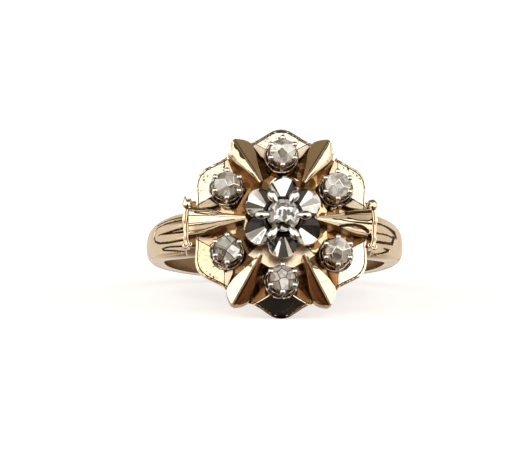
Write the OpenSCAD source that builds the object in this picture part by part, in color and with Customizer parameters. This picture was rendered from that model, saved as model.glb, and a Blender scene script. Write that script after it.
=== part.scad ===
// Two-tone flower cluster ring, lying on its side on a table.
// Every piece is drawn in the ring's own frame: X across the finger, Y along the finger, Z out of the flower,
// with the origin at the middle of the finger hole. The finished ring is then laid down.

/* [Hoop] */
// Radius of the finger hole
finger_r = 8.5; // [7.5:0.1:10]
// Thickness of the hoop's wall at the back of the finger
wall_back = 1.2; // [1:0.05:1.6]
// Thickness of the hoop's wall at its sides
wall_side = 1.35; // [1.1:0.05:1.8]
// Thickness of the wall at the shoulders
wall_shoulder = 1.55; // [1.3:0.05:2]
// Half of the band's width at the back
half_back = 0.9; // [0.7:0.05:1.3]
// Half of the band's width at its sides
half_side = 1.0; // [0.8:0.05:1.4]
// Half of the band's width where the shoulders meet the collars
half_shoulder = 1.65; // [1.4:0.05:2]
// Half width of the plain bridge that runs on under the flower
half_bridge = 1.1; // [0.9:0.05:1.5]
// Wall thickness of that bridge
wall_bridge = 1.0; // [0.9:0.05:1.2]
// How far the band's edges lie below its crown
band_crown = 0.35; // [0.1:0.05:0.45]
// Height of the raised tongue and leaves on the shoulders
relief = 0.16; // [0.08:0.02:0.3]

/* [Flower plate] */
// Reach of the petals' tips from the flower's middle
petal_tip_r = 7.05; // [6.5:0.05:7.6]
// Height of the petals' tips above the middle of the finger
petal_tip_z = 11.6; // [11.3:0.05:12]
// Fall of each petal towards its tip, in degrees
petal_slope = 10; // [4:1:14]
// Thickness of the petals
petal_t = 0.45; // [0.35:0.05:0.6]
// Half of a petal's width where it meets the rays
petal_half = 2.25; // [2:0.05:2.5]
// How far the petal's shoulders lie inside its tip
petal_drop = 1.15; // [0.8:0.05:1.4]
// Where the petal's inner point lies on its axis
petal_inner = 4.2; // [3.9:0.05:4.6]
// Height of the rays' crests at their outer end
crest_out_z = 12.35; // [12:0.05:12.5]
// Rise of the crests towards the middle, in mm for each mm
crest_rise = 0.42; // [0.2:0.02:0.5]
// Where the rays begin, measured from the middle
ray_start = 3.1; // [3.05:0.05:3.4]
// Half of a ray's foot width at its outer end
ray_half = 1.06; // [0.8:0.02:1.15]
// Half of the narrow flat on a ray's crest
crest_half = 0.15; // [0.08:0.01:0.25]
// Fall of a ray's sides, in mm for each mm away from its middle line
ray_fold = 0.55; // [0.4:0.05:0.7]
// Radius of the cone under the centre flower, at its foot
cone_foot_r = 3.5; // [3.2:0.05:3.6]
// Radius of that cone at its top
cone_top_r = 1.95; // [1.6:0.05:2.2]
// Height of the cone's top above the middle of the finger
cone_top_z = 13.3; // [13:0.05:13.4]

/* [Side collars] */
// Distance of the collar's outer face from the middle
collar_x = 7.22; // [7.1:0.02:7.4]
// Half of the collar's height along the finger
collar_half = 1.85; // [1.6:0.05:2]
// Thickness of the collar
collar_t = 0.34; // [0.25:0.01:0.45]
// Height of the collar's top above the middle of the finger
collar_top_z = 11.75; // [11.5:0.05:12]
// Radius of the scroll buds on the collar's ends
bud_r = 0.34; // [0.25:0.01:0.4]

/* [Small collets] */
// Radius of the circle on which the six collets stand
collet_circle_r = 4.63; // [4.5:0.01:4.75]
// Height of a collet from its foot to the stone's girdle
collet_h = 1.95; // [1.6:0.05:2.2]
// Radius of a collet's foot
collet_foot_r = 1.0; // [0.9:0.01:1.04]
// Radius of a collet's rim
collet_rim_r = 1.02; // [0.95:0.01:1.06]
// Radius of the circle of a collet's claws
claw_circle_r = 1.06; // [1.05:0.01:1.1]
// Radius of a claw
claw_r = 0.14; // [0.1:0.01:0.15]
// Radius of the bead on a claw's end
claw_bead_r = 0.2; // [0.18:0.01:0.22]
// Radius of a rose-cut stone
rose_r = 0.87; // [0.8:0.01:0.87]
// Height of a rose-cut stone
rose_h = 0.62; // [0.5:0.02:0.8]

/* [Centre flower] */
// Reach of the six white lobes
lobe_reach = 3.0; // [2.9:0.02:3.02]
// Radius of a lobe's round end
lobe_end_r = 1.03; // [0.9:0.01:1.08]
// Height of the lobes' outer edge above the middle of the finger
lobe_out_z = 14.0; // [13.9:0.05:14.1]
// Height of the lobes where they meet the stone's bezel
lobe_in_z = 14.5; // [14.3:0.05:14.6]
// Depth of the bright-cut flutes
flute_depth = 0.12; // [0.05:0.01:0.18]
// Radius of the centre stone
brilliant_r = 1.2; // [1.1:0.02:1.2]
// Height of its girdle above the middle of the finger
girdle_z = 15.05; // [15:0.05:15.2]
// Radius of the circle of the six bead claws
bead_circle_r = 1.46; // [1.46:0.01:1.55]
// Radius of the beads
bead_r = 0.27; // [0.2:0.01:0.28]

/* [Fits] */
// Gap between pieces that are set into each other
gap = 0.03; // [0.02:0.01:0.05]

/* [Hidden] */
$fn = 64;

gold = "goldenrod";
white_gold = "gainsboro";
diamond = "lightcyan";

// Directions of the six petals and of the four folded rays and two trumpet rays between them
petal_angles = [90, 30, 330, 270, 210, 150];
ray_angles = [60, 120, 240, 300];
trumpet_angles = [0, 180];
shoulder_end = 46; // angle, from the X axis, at which the shoulders meet the collars
floor_z = petal_tip_z - 0.75; // underside of the flower plate
well_z = floor_z + 0.6; // floor of the wells between petals and rays

// Resting pose: the ring touches the table with the lower petal's tip and the lower edge of the hoop's back
back_edge_r = finger_r + wall_back - 0.25;
tip_low_r = petal_tip_r - petal_t * sin(petal_slope);
tip_low_z = petal_tip_z - petal_t * cos(petal_slope);
rest_tilt = atan((tip_low_r - half_back) / (tip_low_z + back_edge_r));
rest_lift = half_back * cos(rest_tilt) + back_edge_r * sin(rest_tilt);
claw_bead_z = collet_h + 0.32; // height of a claw's bead above its collet's foot
// height of that foot, at its middle
collet_z = petal_tip_z + tan(petal_slope) * (petal_tip_r - collet_circle_r);
front_r = collet_circle_r + claw_circle_r; // the lowest collet's outer claw stands furthest forward
front_y = (collet_z + claw_bead_z) * cos(rest_tilt) + front_r * sin(rest_tilt) + claw_bead_r;
back_y = (finger_r + wall_back) * cos(rest_tilt) + half_back * sin(rest_tilt);
rest_shift = (front_y - back_y) / 2;

module laid_down() {
  translate([0, rest_shift, rest_lift]) rotate([90 - rest_tilt, 0, 0]) children();
}

// Smooth step from a at x0 to b at x1
function ease(x, x0, x1, a, b) =
  let (t = min(1, max(0, (x - x0) / (x1 - x0)))) a + (b - a) * t * t * (3 - 2 * t);

// Turns a point of a section into space: across the section along Y, out from the finger at angle phi
function on_hoop(phi, r, y) = [r * cos(phi), y, r * sin(phi)];

// A closed solid through a row of sections that have equally many points; ring joins the last to the first.
// The end faces fan out from each section's last point, so that point sees all the others.
module loft(sections, ring = false) {
  n = len(sections[0]);
  m = len(sections);
  spans = ring ? m - 1 : m - 2;
  sides = [
    for (i = [0:spans]) for (j = [0:n - 1])
      let (next = (j + 1) % n, row = i * n, above = ((i + 1) % m) * n)
      each [[row + j, row + next, above + next], [row + j, above + next, above + j]]
  ];
  ends = ring ? [] : [[for (j = [0:n - 1]) n - 1 - j], [for (j = [0:n - 1]) (m - 1) * n + (j + n - 1) % n]];
  polyhedron(points = [for (s = sections) each s], faces = concat(sides, ends), convexity = 8);
}

// The band's half width and wall at angle phi up from the X axis, the same on both sides of the ring
function lift_angle(phi) = asin(sin(phi));
function band_half(phi) = let (a = lift_angle(phi))
  a > shoulder_end ? ease(a, shoulder_end, shoulder_end + 6, half_shoulder, half_bridge)
  : a > 0 ? ease(a, -4, shoulder_end, half_side, half_shoulder)
  : ease(a, -90, 0, half_back, half_side);
function band_wall(phi) = let (a = lift_angle(phi))
  a > shoulder_end ? ease(a, shoulder_end, shoulder_end + 6, wall_shoulder, wall_bridge)
  : a > 0 ? ease(a, 0, 24, wall_side, wall_shoulder)
  : ease(a, -90, 0, wall_back, wall_side);

// Radius of the band's outer face at angle phi and distance y from its middle line
function band_face(phi, y) = finger_r + band_wall(phi) - band_crown * pow(y / band_half(phi), 2);

function band_section(phi) = let (h = band_half(phi), bore = finger_r - 0.3, side = finger_r + 0.35)
  [
    for (y = [-0.96, -0.75, -0.4, 0, 0.4, 0.75, 0.96]) on_hoop(phi, band_face(phi, y * h), y * h),
    on_hoop(phi, side + 0.25, h), on_hoop(phi, side, h), on_hoop(phi, bore, h),
    on_hoop(phi, bore, -h), on_hoop(phi, side, -h), on_hoop(phi, side + 0.25, -h)
  ];

module hoop() {
  step = 6;
  loft([for (k = [0:360 / step - 1]) band_section(-k * step)], ring = true);
}

// Raised tongue on a shoulder: it starts round below and runs up to the collar
function tongue_half(phi) = 0.85 * sqrt(max(0.04, 1 - pow(max(0, 22 - phi) / 11, 2)));
function tongue_section(phi) = let (h = tongue_half(phi))
  [
    for (k = [-1, -0.5, 0, 0.5, 1])
      on_hoop(phi, band_face(phi, k * h) + (abs(k) == 1 ? relief * 0.6 : relief), k * h),
    on_hoop(phi, band_face(phi, h) - 0.3, h), on_hoop(phi, band_face(phi, h) - 0.3, -h)
  ];

// Slim pointed leaf beside the tongue, on the side of the band given by side = 1 or -1
function leaf_section(phi, side) = let (
    w = 0.04 + 0.2 * sin(180 * min(1, (phi - 18) / 44)),
    y = side * (band_half(phi) - 0.34)
  )
  [
    on_hoop(phi, band_face(phi, y) + relief * 0.2, y - w), on_hoop(phi, band_face(phi, y) + relief, y),
    on_hoop(phi, band_face(phi, y) + relief * 0.2, y + w), on_hoop(phi, band_face(phi, y) - 0.35, y + w),
    on_hoop(phi, band_face(phi, y) - 0.35, y - w)
  ];

module shoulder_relief() {
  difference() {
    loft([for (phi = [shoulder_end, 41, 35, 29, 23, 18, 14, 12]) tongue_section(phi)]);
    for (y = [-0.24, 0.24]) groove(y);
  }
  for (side = [-1, 1]) loft([for (phi = [44, 38, 32, 26, 20]) leaf_section(phi, side)]);
}

// Shallow groove along the tongue at distance y from its middle line
module groove(y) {
  rotate([90, 0, 0]) translate([0, 0, -y - 0.05]) rotate([0, 0, 22])
    rotate_extrude(angle = 30) translate([finger_r + wall_shoulder + 0.02, 0]) square([0.4, 0.1]);
}

// Half outline of a petal, from its shoulder to its tip: a soft ogee
function petal_curve(side) = [
  for (k = [0:8])
    let (t = 1 - k / 8)
    [petal_tip_r - petal_drop * (0.5 * t + 0.25 * (1 - cos(180 * t))), side * petal_half * t]
];

module petal(angle) {
  outline = concat([[petal_inner, 0]], petal_curve(-1), [for (k = [1:8]) petal_curve(1)[8 - k]]);
  rotate([0, 0, angle]) translate([petal_tip_r, 0, petal_tip_z]) rotate([0, petal_slope, 0])
    translate([-petal_tip_r, 0, -petal_t]) linear_extrude(petal_t) polygon(outline);
}

function crest_z(s) = crest_out_z + crest_rise * (petal_tip_r - 0.2 - s);

// Folded ray: two flat sides that fall from a narrow flat crest, on upright walls, and a rounded outer end
function ray_section(s, foot) = let (
    top = crest_z(s),
    shelf = top - ray_fold * foot,
    crest = min(crest_half, foot * 0.6)
  )
  [
    [s, -foot, shelf], [s, -crest, top], [s, crest, top], [s, foot, shelf],
    [s, foot, tip_low_z], [s, -foot, tip_low_z]
  ];

module ray(angle) {
  rotate([0, 0, angle]) loft([
    ray_section(ray_start, 0.34), ray_section(4.4, ray_half * 0.6), ray_section(5.4, ray_half * 0.93),
    ray_section(6.1, ray_half), ray_section(petal_tip_r - 0.45, ray_half * 0.88),
    ray_section(petal_tip_r - 0.15, ray_half * 0.58), ray_section(petal_tip_r, ray_half * 0.2)
  ]);
}

// Fluted trumpet ray that widens out to a side collar: a crest between two hollow faces with rolled edges
function trumpet_section(s, half) = let (top = crest_z(s), edge = crest_z(s) - 0.1 - 0.62 * half)
  [
    [s, -half, well_z - 0.3], [s, -half, edge], [s, -half * 0.82, edge + 0.16], [s, -half * 0.45, edge + 0.2],
    [s, -crest_half, top], [s, crest_half, top],
    [s, half * 0.45, edge + 0.2], [s, half * 0.82, edge + 0.16], [s, half, edge], [s, half, well_z - 0.3],
    [s, 0, well_z - 0.3]
  ];

module trumpet(angle) {
  rotate([0, 0, angle]) loft([
    trumpet_section(ray_start, 0.36), trumpet_section(4.6, 0.6),
    trumpet_section(5.9, 0.85), trumpet_section(collar_x - collar_t / 2, 1.05)
  ]);
}

module side_collar() {
  bow = 6.2; // radius of the collar's bow, seen from above
  intersection() {
    translate([collar_x - bow, 0, floor_z - 1]) difference() {
      cylinder(h = collar_top_z - floor_z + 1, r = bow);
      translate([0, 0, -1]) cylinder(h = collar_top_z - floor_z + 3, r = bow - collar_t);
    }
    translate([collar_x - 1, -collar_half, 0]) cube([2, 2 * collar_half, 20]);
  }
  for (side = [-1, 1])
    translate([collar_x - 0.4, side * (collar_half - bud_r), collar_top_z - 0.2]) sphere(bud_r);
  neck();
}

// Neck that carries the flower on the shoulder: waisted along the finger, and wider at the top across it
module neck() {
  foot_z = finger_r * sin(shoulder_end) + 0.5;
  head_z = floor_z + 0.3;
  waist = half_shoulder - 0.35;
  outer = collar_x - collar_t / 2;
  intersection() {
    translate([3, 0, 0]) rotate([90, 0, 90]) linear_extrude(5) polygon([
      [-half_shoulder + 0.05, foot_z], [half_shoulder - 0.05, foot_z],
      [waist, (foot_z + floor_z) / 2], [waist + 0.15, head_z],
      [-waist - 0.15, head_z], [-waist, (foot_z + floor_z) / 2]
    ]);
    rotate([90, 0, 0]) translate([0, 0, -2]) linear_extrude(4) polygon([
      [outer - 1.1, foot_z - 0.5], [outer + 0.02, foot_z - 0.5], [outer - 0.06, (foot_z + floor_z) / 2],
      [outer, head_z + 1], [outer - 2.2, head_z + 1], [outer - 1.15, (foot_z + floor_z) / 2]
    ]);
  }
}

// Floor of the wells, the cone under the centre flower and the plain collar that stands on the bridge
module flower_floor() {
  collar_r = 2.4;
  hollow_h = cone_top_z - 0.7 - finger_r;
  difference() {
    union() {
      translate([0, 0, floor_z]) cylinder(h = well_z - floor_z, r = petal_tip_r - 1.1);
      translate([0, 0, well_z - 0.1])
        cylinder(h = cone_top_z - well_z + 0.1, r1 = cone_foot_r, r2 = cone_top_r);
      translate([0, 0, finger_r + 0.4]) cylinder(h = floor_z - finger_r - 0.3, r = collar_r);
    }
    translate([0, 0, finger_r]) cylinder(h = hollow_h, r1 = collar_r - 0.4, r2 = collar_r - 1.2);
  }
}

module gold_mount() {
  color(gold) difference() {
    union() {
      hoop();
      for (side = [0, 1]) mirror([side, 0, 0]) {
        shoulder_relief();
        side_collar();
      }
      flower_floor();
      for (angle = petal_angles) petal(angle);
      for (angle = ray_angles) ray(angle);
      for (angle = trumpet_angles) trumpet(angle);
    }
    rotate([90, 0, 0]) cylinder(h = 6, r = finger_r, center = true, $fn = 96);
  }
}

// One white lobe: a fan of bright-cut flutes with a round end
function lobe_half(s) = let (mid = lobe_reach - lobe_end_r)
  s < mid ? lobe_end_r * s / mid : sqrt(max(0.01, pow(lobe_end_r, 2) - pow(s - mid, 2)));
function lobe_top(s) = lobe_in_z + (lobe_out_z - lobe_in_z) * (s - 1.3) / (lobe_reach - 1.3);
function lobe_section(s) = let (h = lobe_half(s), z = lobe_top(s))
  [
    [s, -h, z - 0.5],
    for (k = [-3:3]) [s, h * k / 3, z - (abs(k) % 2 == 0 ? flute_depth * s / lobe_reach : 0)],
    [s, h, z - 0.5], [s, 0, z - 0.5]
  ];

module lobe(angle) {
  rotate([0, 0, angle]) loft([for (s = [1.1, 1.97, 2.4, 2.7, 2.9, lobe_reach]) lobe_section(s)]);
}

module centre_flower() {
  seat_z = girdle_z - 0.1 - gap;
  color(white_gold) {
    difference() {
      union() {
        translate([0, 0, cone_top_z + gap]) cylinder(h = lobe_in_z - cone_top_z - gap, r1 = 1.75, r2 = 1.5);
        translate([0, 0, lobe_in_z - 0.2]) cylinder(h = seat_z - lobe_in_z + 0.2, r = bead_circle_r - 0.1);
        for (angle = petal_angles) lobe(angle);
      }
      translate([0, 0, seat_z - 1.1]) cylinder(h = 1.1 + gap, r1 = 0.15, r2 = brilliant_r + 0.02);
    }
    for (angle = [0:60:300]) rotate([0, 0, angle]) translate([bead_circle_r + 0.04, 0, 0]) {
      translate([0, 0, lobe_in_z - 0.3]) cylinder(h = girdle_z - lobe_in_z + 0.45, r = 0.22);
      translate([0, 0, girdle_z + 0.15]) sphere(bead_r);
    }
  }
}

// Points round a circle at height z, the first at angle start
function ring_points(radius, z, count, start) =
  [for (k = [0:count - 1]) [radius * cos(start + 360 * k / count), radius * sin(start + 360 * k / count), z]];

// Round brilliant: table, stars, kites, girdle and pavilion
module brilliant(r) {
  crown = 0.33 * r;
  girdle = 0.05 * r;
  depth = 0.86 * r;
  table_r = 0.56 * r;
  star_r = 0.8 * r;
  star_z = girdle + crown * (r - star_r * cos(22.5)) / (r - table_r);
  points = concat(
    ring_points(table_r, girdle + crown, 8, 0), ring_points(star_r, star_z, 8, 22.5),
    ring_points(r, girdle, 16, 0), ring_points(r, 0, 16, 0), ring_points(0.25 * r, -depth * 0.76, 8, 22.5),
    [[0, 0, -depth]]
  );
  faces = concat(
    [[for (k = [0:7]) 7 - k]],
    [
      for (k = [0:7]) let (
          n = (k + 1) % 8, p = (k + 7) % 8,
          g = 16 + 2 * k, g1 = 16 + (2 * k + 1) % 16, g2 = 16 + (2 * k + 2) % 16, b = 16,
          q = 48 + k, qn = 48 + n, qp = 48 + p
        )
        each [
          [k, n, 8 + k], [k, 8 + k, g], [k, g, 8 + p], [8 + k, g1, g], [8 + k, g2, g1],
          [g, g1, g1 + b], [g, g1 + b, g + b], [g1, g2, g2 + b], [g1, g2 + b, g1 + b],
          [g + b, g1 + b, q], [g1 + b, g2 + b, q], [g + b, q, qp], [q, 56, qp]
        ]
    ]
  );
  polyhedron(points = points, faces = faces, convexity = 2);
}

module centre_stone() {
  color(diamond) translate([0, 0, girdle_z - 0.05]) rotate([0, 0, 11]) brilliant(brilliant_r);
}

// Rose-cut stone: flat base, twelve lower facets, six large upper facets and a small table
module rose(turn) {
  points = concat(
    ring_points(rose_r * 0.96, 0, 12, turn), ring_points(rose_r, 0.1, 12, turn),
    ring_points(rose_r * 0.7, rose_h * 0.66, 6, turn), ring_points(rose_r * 0.26, rose_h, 6, turn)
  );
  faces = concat(
    [[for (k = [0:11]) k]], [[for (k = [0:5]) 35 - k]],
    [for (k = [0:11]) let (n = (k + 1) % 12) each [[k, 12 + k, 12 + n], [k, 12 + n, n]]],
    [
      for (k = [0:5]) let (n = (k + 1) % 6, g = 12 + 2 * k, g1 = 13 + 2 * k, g2 = 12 + (2 * k + 2) % 12)
        each [
          [g, 24 + k, g1], [24 + k, 24 + n, g1], [g1, 24 + n, g2],
          [24 + k, 30 + k, 30 + n], [24 + k, 30 + n, 24 + n]
        ]
    ]
  );
  polyhedron(points = points, faces = faces, convexity = 2);
}

module at_collet(index) {
  rotate([0, 0, petal_angles[index]]) translate([collet_circle_r, 0, collet_z]) children();
}

module collet(index) {
  color(index % 2 == 0 ? "burlywood" : "tan") at_collet(index) difference() {
    union() {
      collet_cup();
      for (angle = [0:60:300]) rotate([0, 0, angle]) claw();
    }
    // The foot is cut to the slope of the petal it stands on
    rotate([0, petal_slope, 0]) translate([-3, -3, gap - 4]) cube([6, 6, 4]);
  }
}

module collet_cup() {
  rim_z = collet_h - 0.02;
  difference() {
    translate([0, 0, -0.3]) rotate_extrude() polygon([
      [0.6, 0], [collet_foot_r, 0], [collet_foot_r, 0.6], [collet_rim_r - 0.06, 1.3],
      [collet_rim_r, rim_z + 0.3], [0.7, rim_z + 0.3], [0.62, 1.4]
    ]);
    for (angle = [30:60:330]) rotate([0, 0, angle]) translate([0.3, 0, rim_z - 0.95]) rotate([0, 90, 0])
      cylinder(h = 2, r = 0.27);
  }
}

// A claw stands along the cup and ends in a bead over the stone's edge
module claw() {
  translate([claw_circle_r, 0, 0]) cylinder(h = claw_bead_z, r = claw_r, $fn = 24);
  translate([claw_circle_r - 0.03, 0, claw_bead_z]) sphere(claw_bead_r, $fn = 24);
}

module rose_stone(index) {
  color(diamond) at_collet(index) translate([0, 0, collet_h + gap]) rose(37 * index);
}

laid_down() gold_mount();
laid_down() centre_flower();
laid_down() centre_stone();
for (k = [0:5]) {
  laid_down() collet(k);
  laid_down() rose_stone(k);
}
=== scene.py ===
import math

import bmesh
import bpy
from mathutils import Matrix, Vector


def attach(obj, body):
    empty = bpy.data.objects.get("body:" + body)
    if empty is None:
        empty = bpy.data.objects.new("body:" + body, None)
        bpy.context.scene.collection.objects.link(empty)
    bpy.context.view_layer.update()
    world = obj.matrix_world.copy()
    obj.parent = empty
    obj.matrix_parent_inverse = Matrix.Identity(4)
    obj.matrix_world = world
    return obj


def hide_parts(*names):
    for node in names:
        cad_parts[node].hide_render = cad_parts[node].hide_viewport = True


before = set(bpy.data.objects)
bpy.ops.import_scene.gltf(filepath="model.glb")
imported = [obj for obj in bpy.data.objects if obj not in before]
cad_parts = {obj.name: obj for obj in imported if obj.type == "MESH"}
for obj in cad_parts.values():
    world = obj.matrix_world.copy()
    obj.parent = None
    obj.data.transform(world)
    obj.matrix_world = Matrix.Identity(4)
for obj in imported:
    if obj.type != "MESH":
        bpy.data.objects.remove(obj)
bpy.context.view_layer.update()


# ---- Where the ring lies, and the camera
# The ring is worked in its own frame in millimetres: X across the finger, Y along it, Z out of the flower. It is
# then laid on its side, on the lower petal's tip and the hoop's back edge, and the camera looks at the flower.
millimetre = 0.001
hoop_lean = math.radians(16.4177)
lie_down = (
    Matrix.Diagonal((millimetre, millimetre, millimetre, 1))
    @ Matrix.Translation((0, 2.9815, 3.5342))
    @ Matrix.Rotation(math.pi / 2 - hoop_lean, 4, "X")
)
flower_middle = Vector((0, 0, 12))
camera_left, camera_low, camera_roll = math.radians(2.6), math.radians(10), math.radians(0.7)
camera_far, aim_left, aim_down = 203, 0.00115, 0.00093
photo_width, focal_pixels, film_width = 531, 2773, 36
to_camera = Vector((-math.sin(camera_left), -math.sin(camera_low), math.cos(camera_low))).normalized()
eye = lie_down @ (flower_middle + to_camera * camera_far)
middle = lie_down @ flower_middle
ahead = (middle - eye).normalized()
right = ahead.cross(Vector((0, 0, 1))).normalized()
aim = middle - right * aim_left - right.cross(ahead) * aim_down
camera = bpy.data.objects.new("camera", bpy.data.cameras.new("camera"))
bpy.context.scene.collection.objects.link(camera)
camera.location = eye
camera.rotation_mode = "QUATERNION"
roll = Matrix.Rotation(camera_roll, 3, "Z").to_quaternion()
camera.rotation_quaternion = (aim - eye).to_track_quat("-Z", "Y") @ roll
camera.data.sensor_width = film_width
camera.data.lens = film_width * focal_pixels / photo_width
camera.data.clip_start = 0.01
bpy.context.scene.camera = camera


# ---- Light and floor
# A white studio: soft boxes above and at both sides, and the dark of the room behind the camera, which the
# polished metal mirrors. Each light fades in and out between two heights or depths, given as shares of a
# direction. The floor is a plain pale sheet under the ring.
class Value:
    """A shader socket on which sums are written as on a number."""

    def __init__(self, finish, socket):
        self.finish, self.socket = finish, socket

    def sum(self, operation, a, b):
        return self.finish.node("Math", {"operation": operation}, [a, b])

    def __add__(self, other): return self.sum("ADD", self, other)
    def __radd__(self, other): return self.sum("ADD", other, self)
    def __rsub__(self, other): return self.sum("SUBTRACT", other, self)
    def __mul__(self, other): return self.sum("MULTIPLY", self, other)
    def __rmul__(self, other): return self.sum("MULTIPLY", other, self)
    def __abs__(self): return self.sum("ABSOLUTE", self, 0)


class Finish:
    """One node tree, of a material or of the world, built by name."""

    def __init__(self, owner):
        owner.use_nodes = True
        self.owner, self.tree = owner, owner.node_tree
        self.tree.nodes.clear()

    def node(self, kind, settings, inputs, output=0):
        """Adds a node, sets it, sets or links its sockets by name or number, and gives one of its outputs."""
        made = self.tree.nodes.new("ShaderNode" + kind)
        for name, value in settings.items():
            setattr(made, name, value)
        for name, value in inputs.items() if isinstance(inputs, dict) else enumerate(inputs):
            if isinstance(value, Value):
                self.tree.links.new(value.socket, made.inputs[name])
            else:
                made.inputs[name].default_value = value
        return Value(self, made.outputs[output]) if made.outputs else None

    def mix(self, factor, a, b):
        """Mixes two colours, which a Mix node takes at its sockets 6 and 7 and gives at 2."""
        a, b = (colour if isinstance(colour, Value) else (*colour, 1) for colour in (a, b))
        return self.node("Mix", {"data_type": "RGBA"}, {0: factor, 6: a, 7: b}, 2)

    def step(self, value, low, high):
        """0 below low, 1 above high, smooth between."""
        return self.node("MapRange", {"interpolation_type": "SMOOTHSTEP"}, [value, low, high, 0.0, 1.0])


studio = Finish(bpy.data.worlds.new("studio"))
bpy.context.scene.world = studio.owner
seen = studio.node("TexCoord", {}, {}, "Generated")
split = studio.node("SeparateXYZ", {}, [seen]).socket.node
side_of, depth_of, up_of = (Value(studio, output) for output in split.outputs)
front = depth_of * -1.0
room = studio.node("TexNoise", {}, {"Vector": seen, "Scale": 7.0, "Detail": 3.0, "Roughness": 0.65})
behind = 0.15 + 0.60 * (1 - studio.step(up_of, 0.25, 0.60)) * studio.step(up_of, -0.90, -0.45)
softbox = 1.02 + 0.36 * studio.step(up_of, 0.32, 0.52)
softbox = softbox * studio.step(front, -0.10, 0.12) * studio.step(up_of, -0.10, 0.04)
softbox = softbox * (1 - studio.step(up_of, 0.74, 0.88))
softbox = softbox * (1 - 0.8 * studio.step(room, 0.575, 0.60))
camera_side = (1 - studio.step(abs(side_of), 0.20, 0.26)) * (1 - studio.step(up_of, 0.20, 0.25))
camera_side = camera_side * studio.step(up_of, -0.72, -0.60) * studio.step(front, 0.2, 0.4)
table = (1 - studio.step(up_of, -0.30, -0.10)) * studio.step(front, -0.05, 0.25)
boxes = (behind * (1 - 0.72 * table) + softbox) * (1 - 0.993 * camera_side)
glow = studio.mix(table, (1.0, 0.96, 0.90), (1.0, 0.66, 0.42))
glow = studio.mix(studio.step(up_of, 0.74, 0.88), glow, (1.0, 0.80, 0.60))
at_eye = studio.node("LightPath", {}, {}, "Is Camera Ray")
shown = studio.mix(at_eye, glow, (1.0, 1.0, 1.0))
strength = boxes * (1 - at_eye) + at_eye
studio.node("OutputWorld", {}, {"Surface": studio.node("Background", {}, [shown, strength])})

bpy.ops.object.select_all(action="DESELECT")
bpy.ops.mesh.primitive_plane_add(size=4, location=(0, 1.9, 0))
floor = bpy.context.active_object
floor.name = "floor"
floor.visible_glossy = False
pale = Finish(bpy.data.materials.new("pale_floor"))
paint = pale.node("BsdfDiffuse", {}, {"Color": (0.9, 0.9, 0.9, 1)})
glow_floor = pale.node("Emission", {}, {"Color": (1, 1, 1, 1), "Strength": 0.55})
pale.node("OutputMaterial", {}, {"Surface": pale.node("AddShader", {}, [paint, glow_floor])})
floor.data.materials.append(pale.owner)
bpy.context.scene.view_settings.view_transform = "Standard"


# ---- Hoop
# The hoop of the ring: 18 carat yellow gold, rolled flat inside and softly domed outside, thin at the back and
# forged wider and thicker up to the shoulders, then narrow again as the bridge that runs on under the flower.
finger_r = 8.5
wall_middle = Vector((finger_r + 0.5, 0, 0))
relief_bed = 0.25


def open_new(add, **sizes):
    """Adds a primitive with nothing else selected and opens it in edit mode, selected all over."""
    bpy.ops.object.select_all(action="DESELECT")
    add(**sizes)
    bpy.ops.object.mode_set(mode="EDIT")
    bpy.ops.mesh.select_all(action="SELECT")
    return bpy.context.active_object


def shape(move):
    """Moves every vertex of the open piece to move(place)."""
    mesh = bmesh.from_edit_mesh(bpy.context.edit_object.data)
    for vertex in mesh.verts:
        vertex.co = move(vertex.co)
    bmesh.update_edit_mesh(bpy.context.edit_object.data)


def close(piece, bevel=0.0, smooth=30, levels=0):
    """Closes edit mode, rounds the sharp edges and shades the piece smooth up to an angle."""
    bpy.ops.mesh.select_all(action="SELECT")
    bpy.ops.mesh.remove_doubles(threshold=0.0005)
    bpy.ops.mesh.normals_make_consistent(inside=False)
    bpy.ops.object.mode_set(mode="OBJECT")
    if bevel:
        rounding = piece.modifiers.new("rounding", "BEVEL")
        rounding.width, rounding.segments = bevel, 2
        rounding.limit_method, rounding.angle_limit = "ANGLE", math.radians(22)
        bpy.ops.object.modifier_apply(modifier="rounding")
    if levels:
        finer = piece.modifiers.new("finer", "SUBSURF")
        finer.levels = finer.render_levels = levels
        bpy.ops.object.modifier_apply(modifier="finer")
    bpy.ops.object.shade_smooth_by_angle(angle=math.radians(smooth))
    return piece


def finish_in(piece, *finishes):
    """Gives a piece its finishes, in the order in which its faces number them."""
    for finish in finishes:
        piece.data.materials.append(finish)
    return piece


def set_in_ring(piece, name, slot, *nodes):
    """Names a finished piece and lays it down with the ring, in the place of its CAD nodes."""
    piece.name = piece.data.name = name
    piece.data.transform(piece.matrix_world)
    piece.matrix_world = Matrix.Identity(4)
    piece.data.transform(lie_down)
    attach(piece, "root")
    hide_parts(*nodes)


def ease(x, x0, x1, a, b):
    """a up to x0, b from x1 on, smooth between."""
    t = min(1, max(0, (x - x0) / (x1 - x0)))
    return a + (b - a) * t * t * (3 - 2 * t)


def band_half(rise):
    """Half the hoop's width, at an angle up its side from its middle."""
    if rise > 46:
        return ease(rise, 46, 52, 1.65, 1.1)
    return ease(rise, -10, 44, 1.02, 1.62) if rise > -10 else ease(rise, -90, -10, 0.85, 1.02)


def band_wall(rise):
    """The thickness of the hoop's wall there."""
    if rise > 46:
        return ease(rise, 46, 52, 1.55, 1.0)
    return ease(rise, 0, 24, 1.35, 1.55) if rise > 0 else ease(rise, -90, 0, 1.2, 1.35)


def dome(share):
    """How far out the hoop's face stands at a share of its half width, in wall thicknesses."""
    return 1.02 - 0.16 * share ** 2 - 0.2 * share ** 8


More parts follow.
